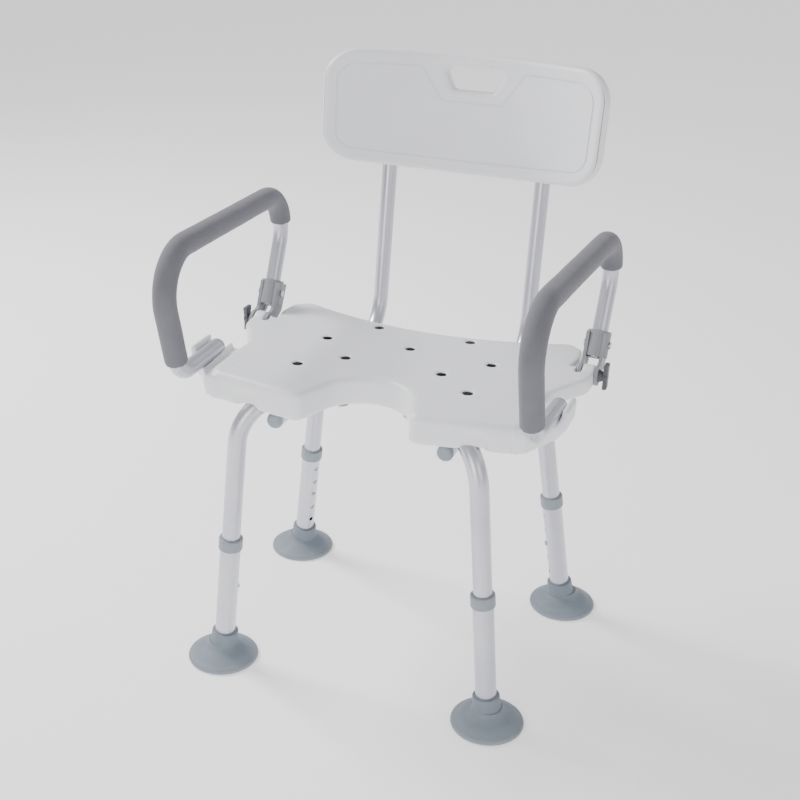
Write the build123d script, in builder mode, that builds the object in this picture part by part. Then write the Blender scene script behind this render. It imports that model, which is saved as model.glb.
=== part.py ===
from build123d import *
import os
from math import atan2, cos, degrees, radians, sin, sqrt, tan

# Height-adjustable shower chair with a backrest and flip-up padded armrests.
# Millimetres. +Z is up, the chair faces -Y and stands on z = 0, centred on x = y = 0.
# Left and right are the sitter's own: left is +X.

SIDES = {"left": 1, "right": -1}
ENDS = ("front", "rear")

# ---- seat -------------------------------------------------------------------
SEAT_TOP = 440.4
SEAT_THICK = 40.4
SEAT_BOTTOM = SEAT_TOP - SEAT_THICK
SEAT_WALL = 3.5
SEAT_REAR_Y = 69.6          # middle of the hollowed rear edge
SEAT_REAR_R = 460           # radius of that edge
SEAT_HALF = 220             # half width of the seat pan
SEAT_FRONT_Y = -189.8       # front edge at the outer corners
LOBE_TIP = (76.4, -215.9)   # foremost point beside the cut-out
CUT_R = 62                  # round end of the hygiene cut-out
CUT_CENTRE_Y = -187
CUT_FLARE = 20              # degrees that the cut-out's sides open by
TOP_ROUND = 9
BOTTOM_ROUND = 5
DIMPLE_DEPTH = 2
DIMPLE_R = 26               # ball radius that presses each dimple
DIMPLES = ((69.5, 55.0), (121.5, -14.0), (69.3, -72.0), (121.0, -117.5))
MIDDLE_DIMPLE_Y = -4.3
GROOVE_WIDE = 2.4
GROOVE_DEEP = 1.2
GROOVE_HALF = 193           # groove line beside the armrests
GROOVE_MARGIN = 8           # groove line from the front and rear edges
DRAIN_R = 3
DRAINS = ((-180, -66), (180, -66), (0, 40), (-100, -188), (100, -188))

# ---- legs -------------------------------------------------------------------
UPPER_OD = 25.4
UPPER_WALL = 1.2
LOWER_OD = 28.6
LOWER_WALL = 1.5
FRAME_Z = 413               # height of the crossing tubes
LEG_BEND = 68
FOOT_X = {"front": 199.8, "rear": 222.5}
FOOT_Y = {"front": -205.3, "rear": 120.5}
LEAN_X = {"front": 0.087, "rear": 0.135}   # inward travel for each mm of height
LEAN_Y = {"front": 0.0, "rear": 0.111}     # forward travel for each mm of height
BUTTON_AT = 118             # along the leg from the floor
HOLE_PITCH = 25.4
HOLE_R = 3.6
UPPER_LOW = 76              # lower end of the upper tube, along the leg
LOWER_LOW = 12
LOWER_TOP = 192
COLLAR_LOW = 184
COLLAR_TALL = 18
COLLAR_OD = 33.4

# ---- rubber foot ------------------------------------------------------------
FOOT_R = 50
NECK_TOP = 46
NECK_R = 18.5

# ---- crossing ---------------------------------------------------------------
FLAT_WIDE = 32              # tube width where it is pressed flat
FLAT_THICK = UPPER_OD / 2
FLAT_REACH = 24             # half length of the flat
TAPER_REACH = 52            # where the tube is round again
CHANNEL_CLEAR = 1.2         # room round the frame tubes in the seat
HUB_R = 54
HUB_TOP = 431

# ---- back -------------------------------------------------------------------
BACK_X = 118.5
BACK_OD = 22.2
BACK_WALL = 1.2
BACK_Z = 387                # level run under the seat
BACK_LEAN = 7.3             # degrees from upright
BACK_FOOT_Y = 179.4         # where the upright meets the level run
BACK_BEND = 60
BACK_FRONT_Y = -193
REST_HALF = 211.5
REST_LOW = 637
REST_HIGH = 808.5
REST_CORNER = 47
REST_CURVE = 350            # curve that wraps round the sitter
REST_THICK = 28
REST_WALL = 3.5
REST_DEPTH_Y = 20           # middle of the panel behind the tubes
HANDLE_HIGH = 791
HANDLE_LOW = 757
HANDLE_TOP_HALF = 49
HANDLE_LOW_HALF = 33
LINE_MARGIN = 19            # pressed line, in from the panel's edge
LINE_DIP = 742              # its height under the handle
RUN_CLEAR = 0.1

# ---- armrest ----------------------------------------------------------------
ARM_X = 247.5               # arm plane beside the pivot
ARM_TOE_IN = 2.1            # degrees
PIVOT_Y = 30
PIVOT_Z = 431
ARM_OD = 22.2
ARM_WALL = 1.2
GRIP_OD = 31
ARM_LOW_Z = 444.2
ARM_END_Y = -120
HOOK_MIDDLE_Y = -133
CHEEK_THICK = 4.5
SLEEVE_R = 16.5             # bracket's sleeve round the armrest tube
RIVET_R = 2.5
KNUCKLE_WIDE = 18
KNUCKLE_R = 14
SIDE_GAP = 0.4
SWING_ROOM = 4              # round the clevis's inner cheek
BOLT_R = 4
BOLT_HEAD = 2.6             # thickness of the pivot bolt's head


PLUG_HEAD = 7               # domed end of a tube plug
PLUG_DEEP = 14
CENTRE_SHIFT = 4.9          # moves the finished chair so that its overall box is centred

os.makedirs("parts", exist_ok=True)


def save(builder, name):
    """Centre a finished piece with the rest, label it and write its file."""
    piece = builder.part.moved(Location((0, CENTRE_SHIFT, 0)))
    piece.label = name
    export_step(piece, f"parts/{name}.step")


def mirrored(builder, side):
    """The piece itself on the left, its mirror image on the right."""
    with BuildPart() as copy:
        if side == "left":
            add(builder.part)
        else:
            mirror(builder.part, about=Plane.YZ)
    return copy


def tube_plug(mouth, tube_od, wall):
    """Domed plug in a tube's end; the mouth plane faces out of the tube."""
    with BuildPart() as plug:
        with BuildSketch(mouth):
            Circle(tube_od / 2)
        extrude(amount=PLUG_HEAD)
        rim = plug.faces().sort_by(Axis(mouth.origin, mouth.z_dir))[-1].edges()
        fillet(rim, PLUG_HEAD - 1)
        with BuildSketch(mouth):
            Circle(tube_od / 2 - wall)
        extrude(amount=-PLUG_DEEP)
    return plug


# =============================================================================
# Leg geometry
# =============================================================================

def leg_point(side, end, height):
    """Point on a leg's axis at a height above the floor."""
    sign = SIDES[side]
    x = sign * (FOOT_X[end] - LEAN_X[end] * height)
    y = FOOT_Y[end] - LEAN_Y[end] * height
    return Vector(x, y, height)


def leg_direction(side, end):
    """Unit vector up a leg's axis."""
    return (leg_point(side, end, 1) - leg_point(side, end, 0)).normalized()


def leg_plane(side, end, along):
    """Plane across a leg; its x axis points towards the middle of the chair."""
    up = leg_direction(side, end)
    origin = leg_point(side, end, 0) + up * along
    inward = Vector(-origin.X, -origin.Y, 0)
    return Plane(origin=origin, x_dir=inward - up * inward.dot(up), z_dir=up)


def cross_point():
    """Where the two frame tubes cross under the seat."""
    front = leg_point("right", "front", FRAME_Z)
    rear = leg_point("left", "rear", FRAME_Z)
    share = -front.X / (rear.X - front.X)
    return front + (rear - front) * share


CROSS = cross_point()


def run_direction(side, end):
    """Level unit vector from the crossing out to a leg."""
    corner = leg_point(side, end, FRAME_Z)
    return (corner - CROSS).normalized()


def run_length(side, end):
    corner = leg_point(side, end, FRAME_Z)
    return (corner - CROSS).length


def run_plane(side, end, along, height=FRAME_Z):
    """Upright plane across a frame tube; its y axis points up."""
    out = run_direction(side, end)
    origin = CROSS + out * along
    across = Vector(0, 0, 1).cross(out)
    return Plane(origin=(origin.X, origin.Y, height), x_dir=across, z_dir=out)


def leg_sweep(side, end, start_along, outer, inner=0):
    """A round bar or tube from the taper out along the run and down the leg."""
    low = leg_point(side, end, 0) + leg_direction(side, end) * start_along
    near = CROSS + run_direction(side, end) * TAPER_REACH
    corner = leg_point(side, end, FRAME_Z)
    with BuildPart() as bar:
        with BuildLine() as path:
            FilletPolyline(low, corner, near, radius=LEG_BEND)
        with BuildSketch(Plane(origin=path.line @ 0, z_dir=path.line % 0)):
            Circle(outer)
            if inner:
                Circle(inner, mode=Mode.SUBTRACT)
        sweep()
    return bar


# =============================================================================
# Seat
# =============================================================================

def seat_edge(inset=0):
    """Sketch of the seat pan's plan, drawn on the current plane."""
    with BuildSketch(mode=Mode.PRIVATE) as plan:
        flare = radians(CUT_FLARE)
        mouth = (CUT_R * cos(flare), CUT_CENTRE_Y + CUT_R * sin(flare))
        middle = (CUT_R * cos(radians(55)), CUT_CENTRE_Y + CUT_R * sin(radians(55)))
        rear_y = SEAT_REAR_Y + SEAT_HALF ** 2 / (2 * SEAT_REAR_R)
        half_x = SEAT_HALF / 2
        half_y = SEAT_REAR_Y + half_x ** 2 / (2 * SEAT_REAR_R)
        with BuildLine() as edge:
            ThreePointArc((0, SEAT_REAR_Y), (half_x, half_y), (SEAT_HALF, rear_y))
            Line((SEAT_HALF, rear_y), (SEAT_HALF, SEAT_FRONT_Y))
            Line((SEAT_HALF, SEAT_FRONT_Y), LOBE_TIP)
            Line(LOBE_TIP, mouth)
            ThreePointArc(mouth, middle, (0, CUT_CENTRE_Y + CUT_R))
            mirror(about=Plane.YZ)
        make_face()
        fillet(plan.vertices().filter_by(lambda v: abs(v.X) > SEAT_HALF - 1), 21)
        fillet(plan.vertices().filter_by(lambda v: v.Y < LOBE_TIP[1] + 1), 13)
        if inset:
            offset(amount=-inset, mode=Mode.REPLACE)
    return plan.sketch


def groove_prism(inset):
    """Upright prism over the area inside the pressed line on the seat's top."""
    width = 2 * (GROOVE_HALF - inset)
    with BuildPart() as prism:
        with BuildSketch(Plane.XY.offset(SEAT_TOP - GROOVE_DEEP)):
            add(seat_edge(GROOVE_MARGIN + inset))
        extrude(amount=2 * GROOVE_DEEP)
        with BuildSketch(Plane.XY.offset(SEAT_TOP - GROOVE_DEEP)):
            Rectangle(width, 600)
        extrude(amount=2 * GROOVE_DEEP, mode=Mode.INTERSECT)
    return prism


def frame_clip_spots():
    """(side, end, distance from the crossing) of each frame clip."""
    return [(side, end, CLIP_REACH) for side in SIDES for end in ENDS]


def guide_spots():
    """(side, end, y) of each back tube guide."""
    return [(side, end, GUIDE_Y[end]) for side in SIDES for end in ENDS]


CLIP_REACH = 80             # frame clips, from the crossing
CLIP_SCREW = 20             # clip screws, from the tube's axis
GUIDE_Y = {"front": -115, "rear": -18}
GUIDE_SCREW = 24            # guide screws, from the tube's axis


def screw_spots():
    """Where screws go up into the seat, as points on its underside."""
    spots = []
    for side, end, along in frame_clip_spots():
        for step in (-CLIP_SCREW, CLIP_SCREW):
            out = run_direction(side, end)
            across = Vector(0, 0, 1).cross(out)
            spot = CROSS + out * along + across * step
            spots.append((spot.X, spot.Y))
    for side, end, y in guide_spots():
        for step in (-GUIDE_SCREW, GUIDE_SCREW):
            spots.append((SIDES[side] * BACK_X + step, y))
    return spots


def tube_channels(grow):
    """The room that the frame tubes need in the seat's underside."""
    with BuildPart() as room:
        for side in SIDES:
            for end in ENDS:
                length = run_length(side, end)
                wide = UPPER_OD / 2 + CHANNEL_CLEAR + grow
                with BuildSketch(run_plane(side, end, 0)):
                    Circle(wide)
                    with Locations((0, -20)):
                        Rectangle(2 * wide, 40)
                extrude(amount=length + UPPER_OD / 2 + 1 + grow)
        with BuildSketch(Plane.XY.offset(SEAT_BOTTOM - 20)):
            with Locations((CROSS.X, CROSS.Y)):
                Circle(HUB_R + grow)
        extrude(amount=HUB_TOP + grow - SEAT_BOTTOM + 20)
    return room


def ear(side):
    """Solid lug beside the seat's rear that carries the armrest's pivot."""
    inner = ARM_X - KNUCKLE_WIDE / 2
    outer = ARM_X + KNUCKLE_WIDE / 2
    slot = CHEEK_THICK + 2 * SIDE_GAP + BOLT_HEAD
    with BuildPart() as lug:
        with BuildSketch(Plane.XY.offset(PIVOT_Z - KNUCKLE_R)):
            with BuildLine():
                Polyline(
                    (205, -74), (222, -66), (238, -34), (outer - 3, -10), (outer, 8),
                    (outer, PIVOT_Y), (222, PIVOT_Y), (228, 60), (224, 92), (205, 104),
                    close=True,
                )
            make_face()
        extrude(amount=SEAT_TOP - PIVOT_Z + KNUCKLE_R)
        top_edges = lug.faces().sort_by(Axis.Z)[-1].edges()
        fillet(top_edges.filter_by(lambda e: e.center().X > 215), 5)
        with BuildSketch(Plane.YZ.offset(inner - 8)):
            with Locations((PIVOT_Y, PIVOT_Z)):
                Circle(KNUCKLE_R)
        extrude(amount=outer - inner + 8)
        with BuildSketch(Plane.YZ.offset(inner - slot)):
            with Locations((PIVOT_Y, PIVOT_Z)):
                Circle(KNUCKLE_R + SWING_ROOM)
            with Locations((PIVOT_Y + 30, PIVOT_Z)):
                Rectangle(60, 2 * (KNUCKLE_R + SWING_ROOM))
            with Locations((PIVOT_Y, PIVOT_Z + 15)):
                Rectangle(2 * (KNUCKLE_R + SWING_ROOM), 30)
        extrude(amount=slot, mode=Mode.SUBTRACT)
        with BuildSketch(Plane.YZ.offset(inner - slot)):
            with Locations((PIVOT_Y, PIVOT_Z)):
                Circle(BOLT_R + RUN_CLEAR / 2)
        extrude(amount=KNUCKLE_WIDE + slot, mode=Mode.SUBTRACT)
    return mirrored(lug, side)


def hook(side):
    """Cradle beside the seat's front that the armrest's end rests in."""
    tube_x = ARM_X + tan(radians(ARM_TOE_IN)) * (HOOK_MIDDLE_Y - PIVOT_Y)
    rest_r = ARM_OD / 2 + 0.5
    lip_top = 457
    with BuildPart() as cradle:
        with BuildSketch(Plane.XZ.offset(200)):
            with BuildLine():
                Polyline(
                    (205, SEAT_TOP - 7), (205, 402), (222, 405), (250, 413),
                    (262, 430), (263.5, lip_top - 2), (255, lip_top), (tube_x + rest_r + 1, 440),
                    (tube_x + rest_r, ARM_LOW_Z), (tube_x, ARM_LOW_Z),
                    (tube_x - rest_r, ARM_LOW_Z), (tube_x - rest_r - 1, SEAT_TOP - 4),
                    close=True,
                )
            make_face()
        extrude(amount=-110)
        with BuildSketch(Plane.XY.offset(SEAT_BOTTOM - 5)) as plan:
            with BuildLine():
                Polyline(
                    (200, -198), (221, -193), (238, -170), (247, -158), (266, -156),
                    (266, -110), (247, -106), (236, -96), (200, -92), close=True,
                )
            make_face()
            fillet(plan.vertices().filter_by(lambda v: v.X > 210), 5)
        extrude(amount=80, mode=Mode.INTERSECT)
        with BuildSketch(arm_cut_plane()):
            Circle(rest_r)
            with Locations((0, 20)):
                Rectangle(2 * rest_r, 40)
        extrude(amount=80, both=True, mode=Mode.SUBTRACT)
    return mirrored(cradle, side)


def arm_cut_plane():
    """Plane across the armrest's level end, in the middle of the cradle."""
    toe = radians(ARM_TOE_IN)
    x = ARM_X + tan(toe) * (HOOK_MIDDLE_Y - PIVOT_Y)
    return Plane(
        origin=(x, HOOK_MIDDLE_Y, ARM_LOW_Z),
        x_dir=(cos(toe), -sin(toe), 0), z_dir=(-sin(toe), -cos(toe), 0),
    )


def make_seat():
    lugs = [ear(side) for side in SIDES] + [hook(side) for side in SIDES]
    channels = tube_channels(0)
    channel_walls = tube_channels(SEAT_WALL)

    with BuildPart() as hollow:
        with BuildSketch(Plane.XY.offset(SEAT_BOTTOM + SEAT_WALL)):
            add(seat_edge(SEAT_WALL))
        extrude(amount=SEAT_THICK - 2 * SEAT_WALL)
        fillet(hollow.faces().sort_by(Axis.Z)[-1].edges(), TOP_ROUND - SEAT_WALL)
        add(channel_walls.part, mode=Mode.SUBTRACT)
        for spot in screw_spots():
            with BuildSketch(Plane.XY.offset(SEAT_BOTTOM)):
                with Locations(spot):
                    Circle(5.5)
            extrude(amount=SEAT_THICK, mode=Mode.SUBTRACT)

    with BuildPart() as groove:
        add(groove_prism(0).part)
        add(groove_prism(GROOVE_WIDE).part, mode=Mode.SUBTRACT)

    with BuildPart() as seat:
        with BuildSketch(Plane.XY.offset(SEAT_BOTTOM)):
            add(seat_edge())
        extrude(amount=SEAT_THICK)
        fillet(seat.faces().sort_by(Axis.Z)[-1].edges(), TOP_ROUND)
        fillet(seat.faces().sort_by(Axis.Z)[0].edges(), BOTTOM_ROUND)
        for lug in lugs:
            add(lug.part)
        add(hollow.part, mode=Mode.SUBTRACT)
        add(channels.part, mode=Mode.SUBTRACT)
        ball_z = SEAT_TOP + DIMPLE_R - DIMPLE_DEPTH
        spots = [(s * x, y, ball_z) for x, y in DIMPLES for s in (1, -1)]
        with Locations(*spots, (0, MIDDLE_DIMPLE_Y, ball_z)):
            Sphere(DIMPLE_R, mode=Mode.SUBTRACT)
        add(groove.part, mode=Mode.SUBTRACT)
        for spot in screw_spots():
            with BuildSketch(Plane.XY.offset(SEAT_BOTTOM)):
                with Locations(spot):
                    Circle(2)
            extrude(amount=15, mode=Mode.SUBTRACT)
        with BuildSketch(Plane.XY.offset(SEAT_BOTTOM)):
            with Locations(*DRAINS):
                Circle(DRAIN_R)
        extrude(amount=SEAT_WALL + 1, mode=Mode.SUBTRACT)
    save(seat, "seat")


# =============================================================================
# Frame under the seat
# =============================================================================

def flat_tube_part(side, end, level, outer_grow):
    """Flat and taper of a frame tube from the crossing out to the round run."""
    half_flat = FLAT_THICK / 2
    middle = FRAME_Z + level * half_flat
    with BuildPart() as bar:
        with BuildSketch(run_plane(side, end, 0, middle)):
            SlotOverall(FLAT_WIDE - 2 * outer_grow, FLAT_THICK - 2 * outer_grow)
        extrude(amount=FLAT_REACH)
        with BuildSketch(run_plane(side, end, FLAT_REACH, middle)):
            Ellipse(FLAT_WIDE / 2 - outer_grow, half_flat - outer_grow)
        with BuildSketch(run_plane(side, end, TAPER_REACH)):
            Circle(UPPER_OD / 2 - outer_grow)
        loft()
    return bar


def make_frame_tube(name, legs, level):
    """One bent tube: two upper legs joined by a run that is pressed flat mid-way."""
    half_flat = FLAT_THICK / 2
    with BuildPart() as tube:
        for side, end in legs:
            add(leg_sweep(side, end, UPPER_LOW, UPPER_OD / 2).part)
            add(flat_tube_part(side, end, level, 0).part)
        for side, end in legs:
            add(leg_sweep(side, end, UPPER_LOW - 5, UPPER_OD / 2 - UPPER_WALL).part, mode=Mode.SUBTRACT)
            add(flat_tube_part(side, end, level, UPPER_WALL).part, mode=Mode.SUBTRACT)
        for side, end in legs:
            hole = leg_plane(side, end, BUTTON_AT)
            with BuildSketch(Plane(origin=hole.origin, x_dir=hole.z_dir, z_dir=hole.x_dir)):
                Circle(HOLE_R)
            extrude(amount=UPPER_OD, mode=Mode.SUBTRACT)
        with BuildSketch(Plane.XY.offset(FRAME_Z - UPPER_OD)):
            with Locations((CROSS.X, CROSS.Y)):
                Circle(BOLT_R)
        extrude(amount=2 * UPPER_OD, mode=Mode.SUBTRACT)
    save(tube, name)


def make_crossing_rivet():
    """Rivet that pins the two flats together."""
    head_r = 8
    head = 3
    with BuildPart() as rivet:
        with BuildSketch(Plane.XY.offset(FRAME_Z - FLAT_THICK - head)):
            with Locations((CROSS.X, CROSS.Y)):
                Circle(head_r)
        extrude(amount=head)
        with BuildSketch(Plane.XY.offset(FRAME_Z - FLAT_THICK)):
            with Locations((CROSS.X, CROSS.Y)):
                Circle(BOLT_R)
        extrude(amount=2 * FLAT_THICK)
        with BuildSketch(Plane.XY.offset(FRAME_Z + FLAT_THICK)):
            with Locations((CROSS.X, CROSS.Y)):
                Circle(head_r)
        extrude(amount=head)
        fillet(rivet.faces().sort_by(Axis.Z)[0].edges(), 1.5)
        fillet(rivet.faces().sort_by(Axis.Z)[-1].edges(), 1.5)
    save(rivet, "crossing_rivet")


CLIP_THICK = 1.8
SCREW_HEAD = 2.2


def make_frame_clips():
    for side, end, along in frame_clip_spots():
        base = run_plane(side, end, along)
        plane = Plane(
            origin=(base.origin.X, base.origin.Y, SEAT_BOTTOM - CLIP_THICK),
            x_dir=base.x_dir, z_dir=(0, 0, 1),
        )
        with BuildPart() as clip:
            with BuildSketch(plane):
                RectangleRounded(56, 16, 6)
                with Locations((-CLIP_SCREW, 0), (CLIP_SCREW, 0)):
                    Circle(2, mode=Mode.SUBTRACT)
            extrude(amount=CLIP_THICK)
            fillet(clip.faces().sort_by(Axis.Z)[0].edges().filter_by(GeomType.LINE), 0.6)
        save(clip, f"{side}_{end}_frame_clip")


def make_tube_guides():
    """Saddles screwed under the seat that the back tubes slide in."""
    wide = 30
    for side, end, y in guide_spots():
        with BuildPart() as guide:
            with BuildSketch(Plane.XZ.offset(-y)):
                with Locations((SIDES[side] * BACK_X, BACK_Z)):
                    Circle(wide / 2)
                with Locations((SIDES[side] * BACK_X, (BACK_Z + SEAT_BOTTOM) / 2)):
                    Rectangle(wide, SEAT_BOTTOM - BACK_Z)
                with Locations((SIDES[side] * BACK_X, SEAT_BOTTOM - 2)):
                    Rectangle(2 * GUIDE_SCREW + 14, 4)
                with Locations((SIDES[side] * BACK_X, SEAT_BOTTOM - wide)):
                    Rectangle(4 * wide, 2 * wide, mode=Mode.INTERSECT)
                with Locations((SIDES[side] * BACK_X, BACK_Z)):
                    Circle(BACK_OD / 2 + RUN_CLEAR, mode=Mode.SUBTRACT)
            extrude(amount=10, both=True)
            for step in (-GUIDE_SCREW, GUIDE_SCREW):
                with BuildSketch(Plane.XY.offset(SEAT_BOTTOM)):
                    with Locations((SIDES[side] * BACK_X + step, y)):
                        Circle(2)
                extrude(amount=-4, mode=Mode.SUBTRACT)
        save(guide, f"{side}_{end}_tube_guide")


def screw_group(name, spots, head_top):
    """Pan-head screws driven up into the seat."""
    with BuildPart() as screws:
        with BuildSketch(Plane.XY.offset(head_top - SCREW_HEAD)):
            with Locations(*spots):
                Circle(4)
        extrude(amount=SCREW_HEAD)
        fillet(screws.faces().group_by(Axis.Z)[0].edges(), 1)
        with BuildSketch(Plane.XY.offset(head_top)):
            with Locations(*spots):
                Circle(1.95)
        extrude(amount=SEAT_BOTTOM + 13 - head_top)
        with BuildSketch(Plane.XY.offset(head_top - SCREW_HEAD)):
            with Locations(*spots):
                Rectangle(4, 0.9)
                Rectangle(0.9, 4)
        extrude(amount=1.2, mode=Mode.SUBTRACT)
    save(screws, name)


# =============================================================================
# Lower legs
# =============================================================================

def make_lower_tube(side, end):
    """Outer tube with a row of height holes on its inner side."""
    with BuildPart() as tube:
        with BuildSketch(leg_plane(side, end, LOWER_LOW)):
            Circle(LOWER_OD / 2)
            Circle(LOWER_OD / 2 - LOWER_WALL, mode=Mode.SUBTRACT)
        extrude(amount=LOWER_TOP - LOWER_LOW)
        for step in range(-2, 3):
            at = leg_plane(side, end, BUTTON_AT + step * HOLE_PITCH)
            with BuildSketch(Plane(origin=at.origin, x_dir=at.z_dir, z_dir=at.x_dir)):
                Circle(HOLE_R)
            extrude(amount=LOWER_OD, mode=Mode.SUBTRACT)
    save(tube, f"{side}_{end}_lower_leg")


def make_collar(side, end):
    """Plastic ring on the lower tube's rim that steadies the upper tube."""
    axis = leg_plane(side, end, 0)
    profile = Plane(origin=axis.origin, x_dir=axis.x_dir, z_dir=axis.x_dir.cross(axis.z_dir))
    outer = COLLAR_OD / 2
    guide = UPPER_OD / 2 + RUN_CLEAR
    top = COLLAR_LOW + COLLAR_TALL
    with BuildPart() as collar:
        with BuildSketch(profile) as section:
            with BuildLine():
                Polyline(
                    (LOWER_OD / 2, COLLAR_LOW), (outer, COLLAR_LOW), (outer, top), (guide, top),
                    (guide, LOWER_TOP), (LOWER_OD / 2, LOWER_TOP), close=True,
                )
            make_face()
            fillet(section.vertices().group_by(Axis.X)[-1], 1.8)
        revolve(axis=Axis(axis.origin, axis.z_dir))
    save(collar, f"{side}_{end}_collar")


def make_foot(side, end):
    """Wide rubber foot: a flat disc with a domed top and a leaning neck."""
    base = leg_point(side, end, 0)
    with BuildPart() as foot:
        with BuildSketch(Plane(origin=(base.X, base.Y, 0), x_dir=(1, 0, 0), z_dir=(0, -1, 0))):
            with BuildLine():
                Line((0, 0), (FOOT_R - 2, 0))
                ThreePointArc((FOOT_R - 2, 0), (FOOT_R, 3.5), (FOOT_R - 3, 8))
                Spline(
                    (FOOT_R - 3, 8), (36, 14.5), (NECK_R + 1.5, 28),
                    tangents=((-1, 0.35), (-0.25, 1)),
                )
                Line((NECK_R + 1.5, 28), (0, 28))
                Line((0, 28), (0, 0))
            make_face()
        revolve(axis=Axis((base.X, base.Y, 0), (0, 0, 1)))
        neck_low = 22
        neck = leg_plane(side, end, neck_low)
        with BuildSketch(neck):
            Circle(NECK_R + 1.5)
        with BuildSketch(leg_plane(side, end, NECK_TOP)):
            Circle(NECK_R)
        loft()
        with BuildSketch(leg_plane(side, end, LOWER_LOW)):
            Circle(LOWER_OD / 2)
        extrude(amount=NECK_TOP, mode=Mode.SUBTRACT)
        rim = foot.edges().filter_by(GeomType.CIRCLE).filter_by(
            lambda e: abs(e.radius - NECK_R) < 0.3 and e.center().Z > neck_low + 5
        )
        fillet(rim, 1.4)
    save(foot, f"{side}_{end}_foot")


def make_snap_button(side, end):
    """Button that pops through the holes, and the leaf spring behind it."""
    at = leg_plane(side, end, BUTTON_AT)
    inner_r = UPPER_OD / 2 - UPPER_WALL
    head_r = HOLE_R - 0.1
    reach = LOWER_OD / 2 + 2.6
    across = Plane(origin=at.origin, x_dir=at.z_dir, z_dir=at.x_dir)
    with BuildPart() as button:
        with BuildSketch(across.offset(inner_r - 3.4)):
            Circle(5)
        extrude(amount=1.6)
        with BuildSketch(across.offset(inner_r - 1.8)):
            Circle(head_r)
        extrude(amount=reach - inner_r + 1.8)
        tip = button.faces().sort_by(Axis(at.origin, at.x_dir))[-1]
        fillet(tip.edges(), 1.6)
    save(button, f"{side}_{end}_snap_button")

    leaf = 0.8
    with BuildPart() as spring:
        with BuildSketch(Plane(origin=at.origin, x_dir=at.x_dir, z_dir=at.x_dir.cross(at.z_dir))):
            with BuildLine() as wire:
                Polyline((inner_r - 3.9, 8), (inner_r - 3.9, -6), (2.5, -34))
                ThreePointArc((2.5, -34), (-1.5, -36.5), (-5.5, -34))
                Line((-5.5, -34), (-inner_r + 1.2, -2))
            trace(wire.line, leaf)
        extrude(amount=3.5, both=True)
    save(spring, f"{side}_{end}_button_spring")


# =============================================================================
# Back
# =============================================================================

LEAN = radians(BACK_LEAN)


def back_plane(height):
    """Level-x plane across the leaning back, at a height up the tubes' lean."""
    rise = height - BACK_Z
    y = BACK_FOOT_Y + rise * tan(LEAN)
    return Plane(origin=(0, y, height), x_dir=(1, 0, 0), z_dir=(0, sin(LEAN), cos(LEAN)))


def make_back_tube(side):
    x = SIDES[side] * BACK_X
    top = 745
    high = Vector(x, BACK_FOOT_Y + (top - BACK_Z) * tan(LEAN), top)
    corner = Vector(x, BACK_FOOT_Y, BACK_Z)
    front = Vector(x, BACK_FRONT_Y, BACK_Z)
    with BuildPart() as tube:
        with BuildLine() as path:
            FilletPolyline(high, corner, front, radius=BACK_BEND)
        with BuildSketch(Plane(origin=path.line @ 0, z_dir=path.line % 0)):
            Circle(BACK_OD / 2)
            Circle(BACK_OD / 2 - BACK_WALL, mode=Mode.SUBTRACT)
        sweep()
    save(tube, f"{side}_back_tube")

    plug = Plane(origin=(x, BACK_FRONT_Y, BACK_Z), z_dir=(0, -1, 0))
    cap = tube_plug(plug, BACK_OD, BACK_WALL)
    save(cap, f"{side}_back_tube_cap")


def rest_outline(inset):
    """Front view of the backrest, on the current plane; y is up the lean."""
    low = (REST_LOW - BACK_Z) / cos(LEAN)
    high = (REST_HIGH - BACK_Z) / cos(LEAN)
    bow = 6
    low_bow = 9
    half = REST_HALF
    with BuildSketch(mode=Mode.PRIVATE) as view:
        with BuildLine():
            ThreePointArc((-half, high - bow), (0, high), (half, high - bow))
            Line((half, high - bow), (half - 3, low + low_bow))
            ThreePointArc((half - 3, low + low_bow), (0, low), (-half + 3, low + low_bow))
            Line((-half + 3, low + low_bow), (-half, high - bow))
        make_face()
        fillet(view.vertices(), REST_CORNER)
        if inset:
            offset(amount=-inset, mode=Mode.REPLACE)
    return view.sketch


def handle_outline(grow):
    """Front view of the carrying hole."""
    top = (HANDLE_HIGH - BACK_Z) / cos(LEAN)
    low = (HANDLE_LOW - BACK_Z) / cos(LEAN)
    with BuildSketch(mode=Mode.PRIVATE) as view:
        with BuildLine():
            Polyline(
                (-HANDLE_TOP_HALF, top), (HANDLE_TOP_HALF, top),
                (HANDLE_LOW_HALF, low), (-HANDLE_LOW_HALF, low), close=True,
            )
        make_face()
        fillet(view.vertices(), 10)
        if grow:
            offset(amount=grow, mode=Mode.REPLACE)
    return view.sketch


def curved_slab(inset):
    """The bent sheet that the backrest's outline is cut from."""
    foot = Plane(origin=(0, BACK_FOOT_Y, BACK_Z), x_dir=(1, 0, 0), z_dir=(0, sin(LEAN), cos(LEAN)))
    middle_r = REST_CURVE
    centre_y = REST_DEPTH_Y - middle_r
    with BuildPart() as slab:
        with BuildSketch(foot):
            with Locations((0, centre_y)):
                Circle(middle_r + REST_THICK / 2 - inset)
                Circle(middle_r - REST_THICK / 2 + inset, mode=Mode.SUBTRACT)
            with Locations((0, REST_DEPTH_Y - 40)):
                Rectangle(2 * REST_HALF + 40, 160, mode=Mode.INTERSECT)
        extrude(amount=500)
    return slab


def cut_slab(inset, outline_inset, hole_grow):
    stand_off = 250
    face = Plane(
        origin=(0, BACK_FOOT_Y - stand_off * cos(LEAN), BACK_Z + stand_off * sin(LEAN)),
        x_dir=(1, 0, 0), z_dir=(0, -cos(LEAN), sin(LEAN)),
    )
    slab = curved_slab(inset)
    with BuildPart() as panel:
        with BuildSketch(face):
            add(rest_outline(outline_inset))
        extrude(amount=-600)
        with BuildSketch(face):
            add(handle_outline(hole_grow))
        extrude(amount=-600, mode=Mode.SUBTRACT)
        add(slab.part, mode=Mode.INTERSECT)
    return panel


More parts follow.
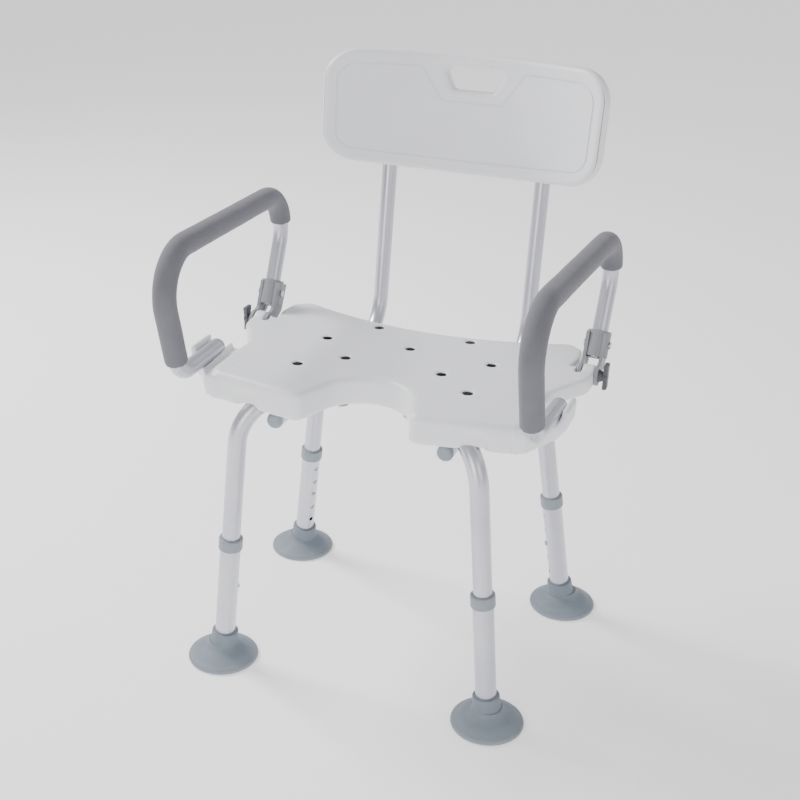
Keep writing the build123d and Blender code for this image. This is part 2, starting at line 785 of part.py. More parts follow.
def pressed_outline(inset):
    """Front view of the area inside the pressed line, which dips under the handle."""
    foot = (LINE_DIP - BACK_Z) / cos(LEAN)
    head = (REST_HIGH - BACK_Z) / cos(LEAN)
    with BuildSketch(mode=Mode.PRIVATE) as view:
        add(rest_outline(LINE_MARGIN + inset))
        with BuildSketch(mode=Mode.PRIVATE) as dip:
            with BuildLine():
                Polyline((-92, head), (92, head), (45, foot), (-45, foot), close=True)
            make_face()
            offset(amount=inset + 0.01, kind=Kind.INTERSECTION, mode=Mode.REPLACE)
        add(dip.sketch, mode=Mode.SUBTRACT)
    return view.sketch


def pressed_line():
    """Thin bent strip that is pressed into the panel's front."""
    face = Plane(origin=(0, BACK_FOOT_Y, BACK_Z), x_dir=(1, 0, 0), z_dir=(0, -cos(LEAN), sin(LEAN)))
    foot = Plane(origin=(0, BACK_FOOT_Y, BACK_Z), x_dir=(1, 0, 0), z_dir=(0, sin(LEAN), cos(LEAN)))
    front_r = REST_CURVE - REST_THICK / 2
    with BuildPart() as skin:
        with BuildSketch(foot):
            with Locations((0, REST_DEPTH_Y - REST_CURVE)):
                Circle(front_r + GROOVE_DEEP)
                Circle(front_r - GROOVE_DEEP, mode=Mode.SUBTRACT)
        extrude(amount=500)
    with BuildPart() as line:
        with BuildSketch(face):
            add(pressed_outline(0))
        extrude(amount=200, both=True)
        with BuildSketch(face):
            add(pressed_outline(GROOVE_WIDE))
        extrude(amount=200, both=True, mode=Mode.SUBTRACT)
        add(skin.part, mode=Mode.INTERSECT)
    return line


def make_backrest():
    hollow = cut_slab(REST_WALL, REST_WALL, REST_WALL)
    line = pressed_line()
    with BuildPart() as rest:
        add(cut_slab(0, 0, 0).part)
        rims = rest.edges().filter_by(lambda e: e.length > 12)
        fillet(rims, 7)
        add(line.part, mode=Mode.SUBTRACT)
        add(hollow.part, mode=Mode.SUBTRACT)
        for side in SIDES:
            start = back_plane(REST_LOW - 20)
            seat = Plane(
                origin=(SIDES[side] * BACK_X, start.origin.Y, start.origin.Z),
                x_dir=(1, 0, 0), z_dir=start.z_dir,
            )
            with BuildSketch(seat):
                Circle(BACK_OD / 2)
            extrude(amount=(745 - REST_LOW + 22) / cos(LEAN), mode=Mode.SUBTRACT)
    save(rest, "backrest")


# =============================================================================
# Armrest
# =============================================================================

TOE = radians(ARM_TOE_IN)


def arm_plane(shift=0):
    """Upright plane of an armrest: x runs rearwards, y runs up."""
    origin = Vector(ARM_X, PIVOT_Y, 0)
    along = Vector(sin(TOE), cos(TOE), 0)
    out = Vector(cos(TOE), -sin(TOE), 0)
    return Plane(origin=origin + out * shift, x_dir=along, z_dir=out)


# the armrest's path in that plane: distance behind the pivot, height
ARM_FOOT = (27, 445)
ARM_REAR = (107.5, 609)
ARM_FRONT = (-310, 616)
ARM_FRONT_LOW = (-260.5, ARM_LOW_Z)
ARM_END = (ARM_END_Y - PIVOT_Y, ARM_LOW_Z)
ARM_BENDS = [56, 57, 35]
REAR_LEAN = atan2(ARM_REAR[0] - ARM_FOOT[0], ARM_REAR[1] - ARM_FOOT[1])


def arm_spot(point):
    """Point in space for a point of the armrest's path."""
    return arm_plane().from_local_coords(Vector(point[0], point[1], 0))


def arm_sweep(points, bends, outer, inner):
    with BuildPart() as bar:
        with BuildLine() as path:
            FilletPolyline(*[arm_spot(p) for p in points], radius=bends)
        with BuildSketch(Plane(origin=path.line @ 0, z_dir=path.line % 0)):
            Circle(outer)
            Circle(inner, mode=Mode.SUBTRACT)
        sweep()
    return bar


def make_arm_tube(side):
    points = [ARM_FOOT, ARM_REAR, ARM_FRONT, ARM_FRONT_LOW, ARM_END]
    with BuildPart() as tube:
        add(arm_sweep(points, ARM_BENDS, ARM_OD / 2, ARM_OD / 2 - ARM_WALL).part)
        with BuildSketch(rivet_plane(-SLEEVE_R)):
            Circle(RIVET_R)
        extrude(amount=2 * SLEEVE_R, mode=Mode.SUBTRACT)
    save(mirrored(tube, side), f"{side}_arm_tube")


def make_arm_grip(side):
    """Foam sleeve over the front leg and the top of the armrest."""
    rise = (ARM_FRONT[1] - ARM_FRONT_LOW[1])
    share = (466 - ARM_FRONT_LOW[1]) / rise
    low = (ARM_FRONT_LOW[0] + (ARM_FRONT[0] - ARM_FRONT_LOW[0]) * share, 466)
    with BuildPart() as grip:
        with BuildLine() as path:
            FilletPolyline(
                *[arm_spot(p) for p in (low, ARM_FRONT, ARM_REAR, ARM_FOOT)],
                radius=[ARM_BENDS[1], ARM_BENDS[0]],
            )
        wire = path.wire().trim(0, 0.80)
        with BuildSketch(Plane(origin=wire @ 0, z_dir=wire % 0)):
            Circle(GRIP_OD / 2)
            Circle(ARM_OD / 2, mode=Mode.SUBTRACT)
        sweep(path=wire)
    save(mirrored(grip, side), f"{side}_arm_grip")


def make_arm_cap(side):
    """Domed plug in the armrest's free end."""
    plug = Plane(origin=arm_spot(ARM_END), z_dir=arm_plane().x_dir)
    cap = tube_plug(plug, ARM_OD, ARM_WALL)
    save(mirrored(cap, side), f"{side}_arm_cap")


def make_arm_bracket(side):
    """Clevis at the armrest's foot: a sleeve for the tube and two cheeks."""
    up = (sin(REAR_LEAN), cos(REAR_LEAN))
    sleeve_tall = 36
    sleeve_low = arm_spot((ARM_FOOT[0] + up[0] * 2, ARM_FOOT[1] + up[1] * 2))
    tube_dir = arm_spot((ARM_FOOT[0] + up[0], ARM_FOOT[1] + up[1])) - arm_spot(ARM_FOOT)
    bore_low = arm_spot(ARM_FOOT)
    gap = KNUCKLE_WIDE / 2 + SIDE_GAP
    with BuildPart() as bracket:
        with BuildSketch(Plane(origin=sleeve_low, x_dir=arm_plane().z_dir, z_dir=tube_dir)):
            Circle(SLEEVE_R)
        extrude(amount=sleeve_tall)
        for inner in (gap, -gap - CHEEK_THICK):
            with BuildSketch(Plane.YZ.offset(ARM_X + inner)):
                with BuildLine():
                    foot_y = PIVOT_Y + ARM_FOOT[0]
                    Polyline(
                        (foot_y - 16 + up[0] * 3, ARM_FOOT[1] + 3 * up[1]),
                        (foot_y - 15 + up[0] * 36, ARM_FOOT[1] + 36 * up[1] + 6),
                        (foot_y + 15 + up[0] * 36, ARM_FOOT[1] + 36 * up[1] - 7),
                        (foot_y + 15 - up[0] * 6, ARM_FOOT[1] - 11 * up[1]),
                        (PIVOT_Y + 8, PIVOT_Z - KNUCKLE_R + 3),
                        (PIVOT_Y - 12, PIVOT_Z + 6),
                        close=True,
                    )
                make_face()
                with Locations((PIVOT_Y, PIVOT_Z)):
                    Circle(KNUCKLE_R)
            extrude(amount=CHEEK_THICK)
        with BuildSketch(Plane(origin=bore_low - tube_dir * 20, x_dir=arm_plane().z_dir, z_dir=tube_dir)):
            Circle(ARM_OD / 2)
        extrude(amount=80, mode=Mode.SUBTRACT)
        with BuildSketch(Plane.YZ.offset(ARM_X - 20)):
            with Locations((PIVOT_Y, PIVOT_Z)):
                Circle(BOLT_R)
        extrude(amount=40, mode=Mode.SUBTRACT)
        with BuildSketch(rivet_plane(-2 * SLEEVE_R)):
            Circle(RIVET_R)
        extrude(amount=4 * SLEEVE_R, mode=Mode.SUBTRACT)
    save(mirrored(bracket, side), f"{side}_arm_bracket")


def rivet_plane(shift):
    """Plane across the bracket's rivet, a shift outwards from the tube's axis."""
    up = (sin(REAR_LEAN), cos(REAR_LEAN))
    spot = arm_spot((ARM_FOOT[0] + 20 * up[0], ARM_FOOT[1] + 20 * up[1]))
    out = arm_plane().z_dir
    return Plane(origin=spot + out * shift, z_dir=out)


def make_arm_rivet(side):
    with BuildPart() as rivet:
        with BuildSketch(rivet_plane(-SLEEVE_R)):
            Circle(RIVET_R)
        extrude(amount=2 * SLEEVE_R)
        for shift in (-SLEEVE_R - 2, SLEEVE_R):
            with BuildSketch(rivet_plane(shift)):
                Circle(2 * RIVET_R)
            extrude(amount=2)
    save(mirrored(rivet, side), f"{side}_arm_rivet")


def make_pivot_bolt(side):
    """Bolt through the clevis and the seat's knuckle, with a head inside."""
    half = KNUCKLE_WIDE / 2 + SIDE_GAP + CHEEK_THICK
    with BuildPart() as bolt:
        with BuildSketch(Plane.YZ.offset(ARM_X - half)):
            with Locations((PIVOT_Y, PIVOT_Z)):
                Circle(BOLT_R)
        extrude(amount=2 * half + 9)
        with BuildSketch(Plane.YZ.offset(ARM_X - half)):
            with Locations((PIVOT_Y, PIVOT_Z)):
                RegularPolygon(6.5, 6)
        extrude(amount=-BOLT_HEAD + SIDE_GAP)
    save(mirrored(bolt, side), f"{side}_pivot_bolt")


def make_wing_knob(side):
    """Wing knob on the bolt's outer end: a cone with a long flat blade."""
    start = ARM_X + KNUCKLE_WIDE / 2 + SIDE_GAP + CHEEK_THICK + 0.3
    with BuildPart() as knob:
        with BuildSketch(Plane.YZ.offset(start)):
            with Locations((PIVOT_Y, PIVOT_Z)):
                Circle(9)
        with BuildSketch(Plane.YZ.offset(start + 8)):
            with Locations((PIVOT_Y, PIVOT_Z)):
                Circle(5.5)
        loft()
        with BuildSketch(Plane.YZ.offset(start + 6.5)):
            with BuildLine():
                Polyline(
                    (PIVOT_Y - 8.5, PIVOT_Z + 18), (PIVOT_Y + 8.5, PIVOT_Z + 18),
                    (PIVOT_Y + 5, PIVOT_Z), (PIVOT_Y + 6, PIVOT_Z - 17),
                    (PIVOT_Y - 6, PIVOT_Z - 17), (PIVOT_Y - 5, PIVOT_Z), close=True,
                )
            make_face()
            with Locations((PIVOT_Y, PIVOT_Z)):
                Circle(7)
        extrude(amount=6)
        blade = knob.faces().sort_by(Axis.X)[-1]
        fillet(blade.edges(), 1.5)
        with BuildSketch(Plane.YZ.offset(start)):
            with Locations((PIVOT_Y, PIVOT_Z)):
                Circle(BOLT_R + RUN_CLEAR / 2)
        extrude(amount=9, mode=Mode.SUBTRACT)
    save(mirrored(knob, side), f"{side}_wing_knob")


# =============================================================================
# Build
# =============================================================================

make_seat()
make_frame_tube("low_frame_tube", (("right", "front"), ("left", "rear")), -1)
make_frame_tube("high_frame_tube", (("left", "front"), ("right", "rear")), 1)
make_crossing_rivet()
make_frame_clips()
make_tube_guides()
screw_group("clip_screws", screw_spots()[:8], SEAT_BOTTOM - CLIP_THICK)
screw_group("guide_screws", screw_spots()[8:], SEAT_BOTTOM - 4)
for side in SIDES:
    for end in ENDS:
        make_lower_tube(side, end)
        make_collar(side, end)
        make_foot(side, end)
        make_snap_button(side, end)
    make_back_tube(side)
    make_arm_tube(side)
    make_arm_grip(side)
    make_arm_cap(side)
    make_arm_bracket(side)
    make_arm_rivet(side)
    make_pivot_bolt(side)
    make_wing_knob(side)
make_backrest()
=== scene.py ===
import bmesh
import bpy
from math import cos, pi, radians
from mathutils import Matrix, Vector, noise


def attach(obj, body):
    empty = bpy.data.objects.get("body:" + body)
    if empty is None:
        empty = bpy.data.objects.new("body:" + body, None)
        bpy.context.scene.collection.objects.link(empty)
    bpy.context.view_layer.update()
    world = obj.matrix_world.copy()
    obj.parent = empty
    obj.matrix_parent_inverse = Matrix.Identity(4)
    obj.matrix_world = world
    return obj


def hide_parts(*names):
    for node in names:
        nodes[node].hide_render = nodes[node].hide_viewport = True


# Shower chair: blow-moulded seat and back on satin anodised tube, with foam-covered
# flip-up armrests and grey rubber feet. Metres, +Z up, the chair faces -Y.

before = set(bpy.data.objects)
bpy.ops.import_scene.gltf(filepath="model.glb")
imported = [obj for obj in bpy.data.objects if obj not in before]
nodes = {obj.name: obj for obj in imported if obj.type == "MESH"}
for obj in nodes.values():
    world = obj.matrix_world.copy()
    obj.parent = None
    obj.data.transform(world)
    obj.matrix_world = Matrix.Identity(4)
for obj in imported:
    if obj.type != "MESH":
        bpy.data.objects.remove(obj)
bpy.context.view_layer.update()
MM = 0.001


# ---------------------------------------------------------------- colours and nodes

def linear(hex_code):
    """Linear colour of an sRGB hex value."""
    parts = [int(hex_code[i:i + 2], 16) / 255 for i in (1, 3, 5)]
    return tuple(c / 12.92 if c <= 0.04045 else ((c + 0.055) / 1.055) ** 2.4 for c in parts) + (1.0,)


def every(size):
    """Pattern scale, in cells for each metre, for cells this many millimetres wide."""
    return 1 / (size * MM)


def add_node(tree, kind, settings=None, **inputs):
    """Add a node. Each input gets a number, a colour or another node's output, and goes by
    its name, or by n0, n1 and so on where the node's inputs share one name."""
    node = tree.nodes.new("ShaderNode" + kind)
    for key, value in (settings or {}).items():
        setattr(node, key, value)
    for key, value in inputs.items():
        numbered = key[0] == "n" and key[1:].isdigit()
        socket = node.inputs[int(key[1:]) if numbered else key.replace("_", " ")]
        if isinstance(value, bpy.types.NodeSocket):
            tree.links.new(value, socket)
        else:
            socket.default_value = value
    return node


def new_material(name):
    """Material with only a shader, and the object's own coordinates to build on."""
    material = bpy.data.materials.new(name)
    material.use_nodes = True
    tree = material.node_tree
    tree.nodes.clear()
    output = add_node(tree, "OutputMaterial")
    shader = add_node(tree, "BsdfPrincipled")
    tree.links.new(shader.outputs["BSDF"], output.inputs["Surface"])
    place = add_node(tree, "TexCoord").outputs["Object"]
    return material, tree, shader, place


def join(tree, shader, colour=None, roughness=None, normal=None):
    """Link finished colour, roughness and normal chains to the shader."""
    if colour is not None:
        tree.links.new(colour, shader.inputs["Base Color"])
    if roughness is not None:
        tree.links.new(roughness, shader.inputs["Roughness"])
    if normal is not None:
        tree.links.new(normal, shader.inputs["Normal"])


# ---------------------------------------------------------------- materials

def blow_moulded_polyethylene():
    """High-density polyethylene, blown against a satin mould: cool white, soft broad
    highlights, a faint orange-peel skin and slightly uneven gloss from the blowing."""
    material, tree, shader, place = new_material("blow_moulded_polyethylene")
    cloud = add_node(tree, "TexNoise", Vector=place, Scale=every(71.4), Detail=3.0, Roughness=0.5)
    tint = add_node(
        tree, "MixRGB", Fac=cloud.outputs["Fac"], Color1=linear("#E6E7EC"), Color2=linear("#F1F2F5"),
    )
    speck = add_node(tree, "TexNoise", Vector=place, Scale=every(2.38), Detail=2.0, Roughness=0.6)
    fleck = add_node(
        tree, "MapRange", Value=speck.outputs["Fac"], From_Min=0.62, From_Max=0.80, To_Min=0.0, To_Max=0.06,
    )
    colour = add_node(
        tree, "MixRGB", Fac=fleck.outputs["Result"], Color1=tint.outputs["Color"], Color2=linear("#C9CBD2"),
    )
    drag = add_node(tree, "TexNoise", Vector=place, Scale=every(18.2), Detail=5.0, Roughness=0.62)
    gloss = add_node(
        tree, "MapRange", Value=drag.outputs["Fac"], From_Min=0.3, From_Max=0.7, To_Min=0.33, To_Max=0.47,
    )
    peel = add_node(tree, "TexNoise", Vector=place, Scale=every(3.03), Detail=3.0, Roughness=0.55)
    sink = add_node(tree, "TexNoise", Vector=place, Scale=every(38.5), Detail=1.0, Roughness=0.4)
    height = add_node(
        tree, "Math", {"operation": "MULTIPLY_ADD"}, n0=sink.outputs["Fac"], n1=6.0, n2=peel.outputs["Fac"],
    )
    bump = add_node(tree, "Bump", Strength=0.30, Distance=0.12 * MM, Height=height.outputs["Value"])
    join(tree, shader, colour.outputs["Color"], gloss.outputs["Result"], bump.outputs["Normal"])
    shader.inputs["IOR"].default_value = 1.54
    shader.inputs["Subsurface Weight"].default_value = 0.12
    shader.inputs["Subsurface Radius"].default_value = (4 * MM, 4 * MM, 3.5 * MM)
    shader.inputs["Subsurface Scale"].default_value = 1.0
    return material


def anodised_tube(name, stretch):
    """Extruded 6000-series aluminium tube, etched and clear anodised: a silver with a
    slight cool tint, a soft satin highlight, die lines along the tube and tiny pits. The
    die lines and pits of the real tube are finer, and are drawn coarse enough to show."""
    material, tree, shader, place = new_material(name)
    along = add_node(tree, "Mapping", {"vector_type": "POINT"}, Vector=place, Scale=stretch)
    lines = add_node(
        tree, "TexNoise", Vector=along.outputs["Vector"], Scale=every(0.667), Detail=4.0, Roughness=0.65,
    )
    patch = add_node(tree, "TexNoise", Vector=place, Scale=every(55.6), Detail=4.0, Roughness=0.55)
    tint = add_node(
        tree, "MixRGB", Fac=patch.outputs["Fac"], Color1=linear("#BFBFC9"), Color2=linear("#D3D3DA"),
    )
    streak = add_node(
        tree, "MapRange", Value=lines.outputs["Fac"], From_Min=0.35, From_Max=0.75, To_Min=0.0, To_Max=0.22,
    )
    colour = add_node(
        tree, "MixRGB", Fac=streak.outputs["Result"], Color1=tint.outputs["Color"], Color2=linear("#A9A9B6"),
    )
    grain = add_node(tree, "TexNoise", Vector=place, Scale=every(1.11), Detail=2.0, Roughness=0.7)
    mixed = add_node(tree, "MixRGB", Fac=0.45, Color1=lines.outputs["Fac"], Color2=grain.outputs["Fac"])
    rough = add_node(
        tree, "MapRange", Value=mixed.outputs["Color"], From_Min=0.3, From_Max=0.7, To_Min=0.26, To_Max=0.42,
    )
    bump = add_node(tree, "Bump", Strength=0.22, Distance=0.04 * MM, Height=mixed.outputs["Color"])
    join(tree, shader, colour.outputs["Color"], rough.outputs["Result"], bump.outputs["Normal"])
    shader.inputs["Metallic"].default_value = 0.92
    shader.inputs["Coat Weight"].default_value = 0.12
    shader.inputs["Coat Roughness"].default_value = 0.35
    return material


def closed_cell_foam():
    """Nitrile foam sleeve with a ground skin: cool mid grey, no gloss, open pores, drawn
    nearly a millimetre wide so that they show and darkened inside with painted shade, and a slight bloom
    where light grazes it."""
    material, tree, shader, place = new_material("closed_cell_foam")
    patch = add_node(tree, "TexNoise", Vector=place, Scale=every(45.5), Detail=5.0, Roughness=0.6)
    tint = add_node(
        tree, "MixRGB", Fac=patch.outputs["Fac"], Color1=linear("#5D5D64"), Color2=linear("#77777F"),
    )
    pores = add_node(
        tree, "TexVoronoi", {"feature": "F1"}, Vector=place, Scale=every(0.909), Randomness=1.0,
    )
    # painted shade: each pore's middle is darkened towards #3C3C42, standing in for shade inside the hole
    painted_pore_shade = add_node(
        tree, "MapRange", Value=pores.outputs["Distance"],
        From_Min=0.05, From_Max=0.42, To_Min=0.55, To_Max=0.0,
    )
    colour = add_node(
        tree, "MixRGB", Fac=painted_pore_shade.outputs["Result"], Color1=tint.outputs["Color"], Color2=linear("#3C3C42"),
    )
    nap = add_node(tree, "TexNoise", Vector=place, Scale=every(2.08), Detail=4.0, Roughness=0.7)
    height = add_node(
        tree, "Math", {"operation": "MULTIPLY_ADD"},
        n0=pores.outputs["Distance"], n1=0.8, n2=nap.outputs["Fac"],
    )
    bump = add_node(tree, "Bump", Strength=0.55, Distance=0.22 * MM, Height=height.outputs["Value"])
    rough = add_node(
        tree, "MapRange", Value=patch.outputs["Fac"], From_Min=0.3, From_Max=0.7, To_Min=0.72, To_Max=0.9,
    )
    join(tree, shader, colour.outputs["Color"], rough.outputs["Result"], bump.outputs["Normal"])
    shader.inputs["Sheen Weight"].default_value = 0.18
    shader.inputs["Sheen Roughness"].default_value = 0.5
    shader.inputs["IOR"].default_value = 1.45
    return material


def moulded_rubber():
    """Compression-moulded thermoplastic rubber foot: mid blue-grey, matt, with a fine
    spark-eroded grain and paler dusty scuffs close to the floor."""
    material, tree, shader, place = new_material("moulded_rubber")
    patch = add_node(tree, "TexNoise", Vector=place, Scale=every(33.3), Detail=5.0, Roughness=0.6)
    tint = add_node(
        tree, "MixRGB", Fac=patch.outputs["Fac"], Color1=linear("#6C7680"), Color2=linear("#828C97"),
    )
    axes = add_node(tree, "SeparateXYZ", Vector=place)
    low = add_node(
        tree, "MapRange", Value=axes.outputs["Z"], From_Min=2 * MM, From_Max=16 * MM, To_Min=0.5, To_Max=0.0,
    )
    dust = add_node(tree, "TexNoise", Vector=place, Scale=every(7.14), Detail=6.0, Roughness=0.7)
    scuff = add_node(
        tree, "Math", {"operation": "MULTIPLY"}, n0=low.outputs["Result"], n1=dust.outputs["Fac"],
    )
    colour = add_node(
        tree, "MixRGB", Fac=scuff.outputs["Value"], Color1=tint.outputs["Color"], Color2=linear("#A6ADB4"),
    )
    grain = add_node(tree, "TexNoise", Vector=place, Scale=every(1.18), Detail=3.0, Roughness=0.6)
    bump = add_node(tree, "Bump", Strength=0.4, Distance=0.1 * MM, Height=grain.outputs["Fac"])
    rough = add_node(
        tree, "MapRange", Value=dust.outputs["Fac"], From_Min=0.3, From_Max=0.7, To_Min=0.5, To_Max=0.72,
    )
    join(tree, shader, colour.outputs["Color"], rough.outputs["Result"], bump.outputs["Normal"])
    shader.inputs["IOR"].default_value = 1.52
    return material


def moulded_nylon(name, dark, light, smoothest, roughest):
    """Injection-moulded nylon with a satin texture: even colour with faint flow marks,
    a short soft highlight and a fine leathery grain."""
    material, tree, shader, place = new_material(name)
    flow = add_node(
        tree, "TexNoise", Vector=place, Scale=every(16.7), Detail=4.0, Roughness=0.55, Distortion=0.6,
    )
    colour = add_node(tree, "MixRGB", Fac=flow.outputs["Fac"], Color1=linear(dark), Color2=linear(light))
    grain = add_node(
        tree, "TexVoronoi", {"feature": "SMOOTH_F1"}, Vector=place, Scale=every(0.769), Smoothness=0.5,
    )
    bump = add_node(tree, "Bump", Strength=0.3, Distance=0.08 * MM, Height=grain.outputs["Distance"])
    rough = add_node(
        tree, "MapRange", Value=flow.outputs["Fac"],
        From_Min=0.3, From_Max=0.7, To_Min=smoothest, To_Max=roughest,
    )
    join(tree, shader, colour.outputs["Color"], rough.outputs["Result"], bump.outputs["Normal"])
    shader.inputs["IOR"].default_value = 1.53
    return material


def zinc_plated_steel():
    """Cold-headed steel with bright zinc: bluish silver with a crystalline mottle."""
    material, tree, shader, place = new_material("zinc_plated_steel")
    crystal = add_node(tree, "TexVoronoi", {"feature": "F1"}, Vector=place, Scale=every(1.43))
    colour = add_node(
        tree, "MixRGB", Fac=crystal.outputs["Distance"], Color1=linear("#C4C8CE"), Color2=linear("#A4A9B2"),
    )
    brush = add_node(tree, "TexNoise", Vector=place, Scale=every(0.833), Detail=3.0, Roughness=0.6)
    rough = add_node(
        tree, "MapRange", Value=brush.outputs["Fac"], From_Min=0.3, From_Max=0.7, To_Min=0.18, To_Max=0.34,
    )
    bump = add_node(tree, "Bump", Strength=0.2, Distance=0.04 * MM, Height=brush.outputs["Fac"])
    join(tree, shader, colour.outputs["Color"], rough.outputs["Result"], bump.outputs["Normal"])
    shader.inputs["Metallic"].default_value = 1.0
    return material


PAPER_GLOW = 0.45


def studio_paper():
    """Matt white background paper with a barely visible tooth, lit a little from within
    so that it stays pale."""
    material, tree, shader, place = new_material("studio_paper")
    tooth = add_node(tree, "TexNoise", Vector=place, Scale=every(3.33), Detail=2.0)
    colour = add_node(
        tree, "MixRGB", Fac=tooth.outputs["Fac"], Color1=linear("#FDFDFD"), Color2=linear("#FFFFFF"),
    )
    join(tree, shader, colour.outputs["Color"])
    shader.inputs["Roughness"].default_value = 0.95
    shader.inputs["Emission Color"].default_value = (1, 1, 1, 1)
    shader.inputs["Emission Strength"].default_value = PAPER_GLOW
    return material


# A tube's die lines run along the axis whose stretch is small.
polyethylene = blow_moulded_polyethylene()
leg_tube = anodised_tube("anodised_tube_upright", (1.0, 1.0, 0.02))
level_tube = anodised_tube("anodised_tube_level", (1.0, 0.02, 1.0))
clip_plate = anodised_tube("anodised_plate", (1.0, 1.0, 1.0))
foam = closed_cell_foam()
rubber = moulded_rubber()
grey_nylon = moulded_nylon("grey_nylon", "#7F8790", "#8F979F", 0.38, 0.5)
bracket_nylon = moulded_nylon("bracket_nylon", "#85868C", "#97989E", 0.36, 0.5)
knob_nylon = moulded_nylon("knob_nylon", "#47474D", "#55555B", 0.4, 0.55)
zinc = zinc_plated_steel()

FINISH = (
    ("seat", polyethylene), ("backrest", polyethylene),
    ("frame_tube", leg_tube), ("lower_leg", leg_tube), ("back_tube", leg_tube), ("arm_tube", level_tube),
    ("back_tube_cap", grey_nylon), ("arm_cap", grey_nylon),
    ("collar", grey_nylon), ("tube_guide", grey_nylon),
    ("arm_bracket", bracket_nylon), ("wing_knob", knob_nylon), ("frame_clip", clip_plate),
    ("rivet", zinc), ("screws", zinc), ("pivot_bolt", zinc), ("snap_button", zinc), ("button_spring", zinc),
    ("_foot", rubber), ("arm_grip", foam),
)


def finish_of(name):
    """The material of a CAD node: that of the last entry whose words are in its name."""
    return [material for words, material in FINISH if words in name][-1]


for name, node in nodes.items():
    node.data.materials.clear()
    node.data.materials.append(finish_of(name))


# ---------------------------------------------------------------- making and dressing pieces

MERGE_GAP = 0.02 * MM


def merged_copy(name, node):
    """New object holding a copy of a CAD node's mesh with its doubles merged."""
    mesh = bpy.data.meshes.new(name)
    shape = bmesh.new()
    shape.from_mesh(nodes[node].data)
    bmesh.ops.remove_doubles(shape, verts=shape.verts, dist=MERGE_GAP)
    shape.to_mesh(mesh)
    shape.free()
    piece = bpy.data.objects.new(name, mesh)
    bpy.context.scene.collection.objects.link(piece)
    return piece


def even_skin(piece, voxel):
    """Turn a piece into one closed skin of even quads."""
    remesh = piece.modifiers.new("even", "REMESH")
    remesh.mode = "VOXEL"
    remesh.voxel_size = voxel
    bpy.context.view_layer.update()
    even = bpy.data.meshes.new_from_object(piece.evaluated_get(bpy.context.evaluated_depsgraph_get()))
    piece.modifiers.clear()
    piece.data = even


def relax(shape, rounds):
    """Soften a bmesh's edges, as a moulding's skin does."""
    for _ in range(rounds):
        bmesh.ops.smooth_vert(
            shape, verts=shape.verts, factor=0.5, use_axis_x=True, use_axis_y=True, use_axis_z=True,
        )


def dress(piece, material, body, replaced):
    """Give a finished piece its material and body, and hide the node that it stands for."""
    piece.data.materials.clear()
    piece.data.materials.append(material)
    for face in piece.data.polygons:
        face.use_smooth = True
    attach(piece, body)
    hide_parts(replaced)


# ---------------------------------------------------------------- blow-moulded seat

SEAT_TOP = 440.4 * MM
SHIFT_Y = 4.9 * MM                      # from the seat's own middle to the chair's
SEAT_VOXEL = 2.4 * MM
SEAT_RELAX = 3
WALL_PATCH = (52 * MM, 4 * MM, 30 * MM)
WALL_PATCH_X = 152 * MM
WALL_PATCH_Y = -197.5 * MM + SHIFT_Y
WALL_PATCH_Z = SEAT_TOP - 22 * MM
WALL_PATCH_TURN = radians(10.3)         # follows the front edge
TOP_LAYER = 6 * MM                      # depth that the dimples' pressing reaches
DIMPLE_R = 11 * MM
DIMPLE_DEEP = 2.2 * MM                  # at the middle, falling to nothing at the edge
MIDDLE_DIMPLE_Y = -4.3 * MM
DIMPLE_PAIRS = ((69.5, 55.0), (121.5, -14.0), (69.3, -72.0), (121.0, -117.5))


def seat_skin():
    """The seat as one soft moulding, with front walls closed where the legs' channels
    come out. A dimple's floor is thinner than a voxel, so each comes out as a hole, and
    its rim is pressed down."""
    piece = merged_copy("seat_moulding", "seat")
    shape = bmesh.new()
    shape.from_mesh(piece.data)
    for side in (-1, 1):
        patch = bmesh.ops.create_cube(shape, size=1.0)["verts"]
        bmesh.ops.scale(shape, verts=patch, vec=WALL_PATCH)
        bmesh.ops.rotate(shape, verts=patch, matrix=Matrix.Rotation(WALL_PATCH_TURN * side, 3, "Z"))
        bmesh.ops.translate(shape, verts=patch, vec=(side * WALL_PATCH_X, WALL_PATCH_Y, WALL_PATCH_Z))
    shape.to_mesh(piece.data)
    shape.free()
    even_skin(piece, SEAT_VOXEL)
    shape = bmesh.new()
    shape.from_mesh(piece.data)
    relax(shape, SEAT_RELAX)
    centres = [Vector((0, MIDDLE_DIMPLE_Y + SHIFT_Y))]
    centres += [Vector((side * x * MM, y * MM + SHIFT_Y)) for x, y in DIMPLE_PAIRS for side in (-1, 1)]
    for vert in shape.verts:
        if vert.co.z < SEAT_TOP - TOP_LAYER:
            continue
        for centre in centres:
            away = (vert.co.xy - centre).length
            if away < DIMPLE_R:
                vert.co.z -= DIMPLE_DEEP * (cos(pi * away / DIMPLE_R) + 1) / 2
    shape.to_mesh(piece.data)
    shape.free()
    dress(piece, polyethylene, "seat_frame", "seat")


seat_skin()


# ---------------------------------------------------------------- foam grips

GRIP_VOXEL = 1.6 * MM
GRIP_RELAX = 4
GRIP_SWELLS = ((26, 0.35 * MM), (95, 0.12 * MM))    # waves in each metre, and their height


def foam_grip(side):
    """Foam sleeve bent over the armrest tube, a little uneven where hands press it."""
    node = f"{side}_arm_grip"
    sleeve = merged_copy(node + "_foam", node)
    even_skin(sleeve, GRIP_VOXEL)
    shape = bmesh.new()
    shape.from_mesh(sleeve.data)
    relax(shape, GRIP_RELAX)
    shape.normal_update()
    for vert in shape.verts:
        vert.co += vert.normal * sum(noise.noise(vert.co * waves) * tall for waves, tall in GRIP_SWELLS)
    shape.to_mesh(sleeve.data)
    shape.free()
    dress(sleeve, foam, f"{side}_arm", node)


for side in ("left", "right"):
    foam_grip(side)


# ---------------------------------------------------------------- room, lights and camera

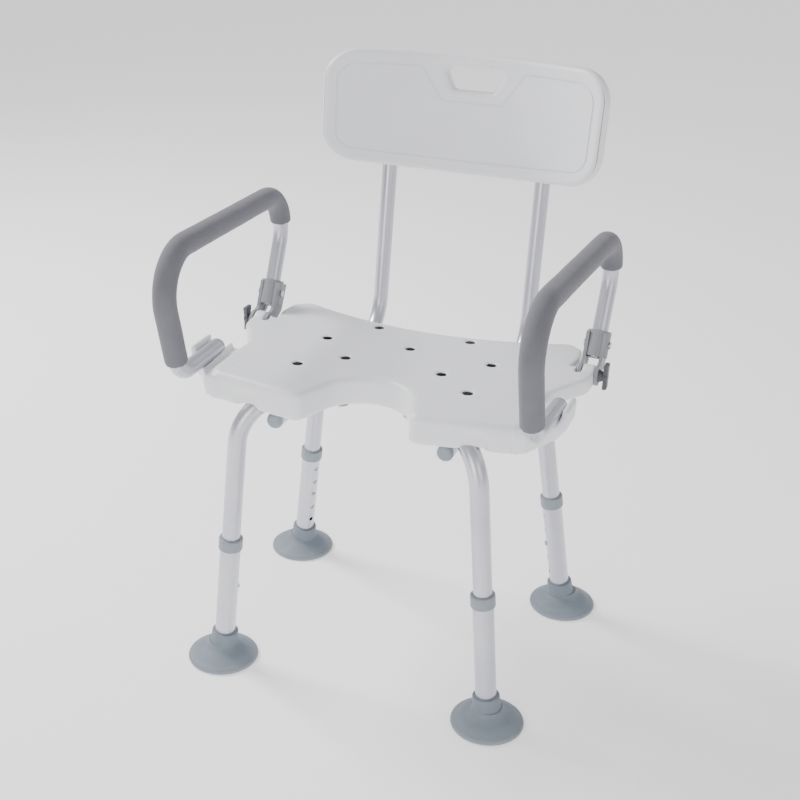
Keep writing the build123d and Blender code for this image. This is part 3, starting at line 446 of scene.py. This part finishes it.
FLOOR_REACH = 12
WORLD_STRENGTH = 0.75
CHAIR_MIDDLE = Vector((0, 0, 0.4))
LIGHTS = (                              # place, side in metres, power in watts
    ("key_box", (-2.2, 0.4, 2.4), 1.0, 95),
    ("fill_box", (2.6, -2.0, 1.5), 1.8, 14),
    ("front_box", (-0.4, -3.0, 1.0), 1.5, 22),
)
LENS = 57.68
SENSOR = 36
CAMERA_PLACE = (0.5539, -1.5713, 1.1078)
CAMERA_AHEAD = Vector((-0.3094, 0.8583, -0.4093))
CAMERA_RIGHT = Vector((0.9358, 0.3514, 0.0294))


def floor():
    """A wide sheet of pale paper that the chair stands on."""
    shape = bmesh.new()
    bmesh.ops.create_grid(shape, x_segments=1, y_segments=1, size=FLOOR_REACH)
    mesh = bpy.data.meshes.new("studio_floor")
    shape.to_mesh(mesh)
    shape.free()
    mesh.materials.append(studio_paper())
    sheet = bpy.data.objects.new("studio_floor", mesh)
    bpy.context.scene.collection.objects.link(sheet)


def soft_light(name, place, size, power):
    """Large square soft box that faces the chair."""
    lamp = bpy.data.lights.new(name, "AREA")
    lamp.shape = "SQUARE"
    lamp.size = size
    lamp.energy = power
    box = bpy.data.objects.new(name, lamp)
    box.location = place
    box.rotation_euler = (CHAIR_MIDDLE - Vector(place)).to_track_quat("-Z", "Y").to_euler()
    bpy.context.scene.collection.objects.link(box)


def white_room():
    """Even white light from all round."""
    world = bpy.data.worlds.new("studio")
    world.use_nodes = True
    background = world.node_tree.nodes["Background"]
    background.inputs["Color"].default_value = (1, 1, 1, 1)
    background.inputs["Strength"].default_value = WORLD_STRENGTH
    bpy.context.scene.world = world


def standing_camera():
    """Camera above the chair's front corner, turned a little about its own axis."""
    lens = bpy.data.cameras.new("camera")
    lens.lens = LENS
    lens.sensor_width = SENSOR
    camera = bpy.data.objects.new("camera", lens)
    ahead = CAMERA_AHEAD.normalized()
    right = (CAMERA_RIGHT - ahead * CAMERA_RIGHT.dot(ahead)).normalized()
    up = right.cross(ahead)
    turn = Matrix((right, up, -ahead)).transposed().to_4x4()
    camera.matrix_world = Matrix.Translation(CAMERA_PLACE) @ turn
    bpy.context.scene.collection.objects.link(camera)
    bpy.context.scene.camera = camera


floor()
white_room()
for light in LIGHTS:
    soft_light(*light)
standing_camera()
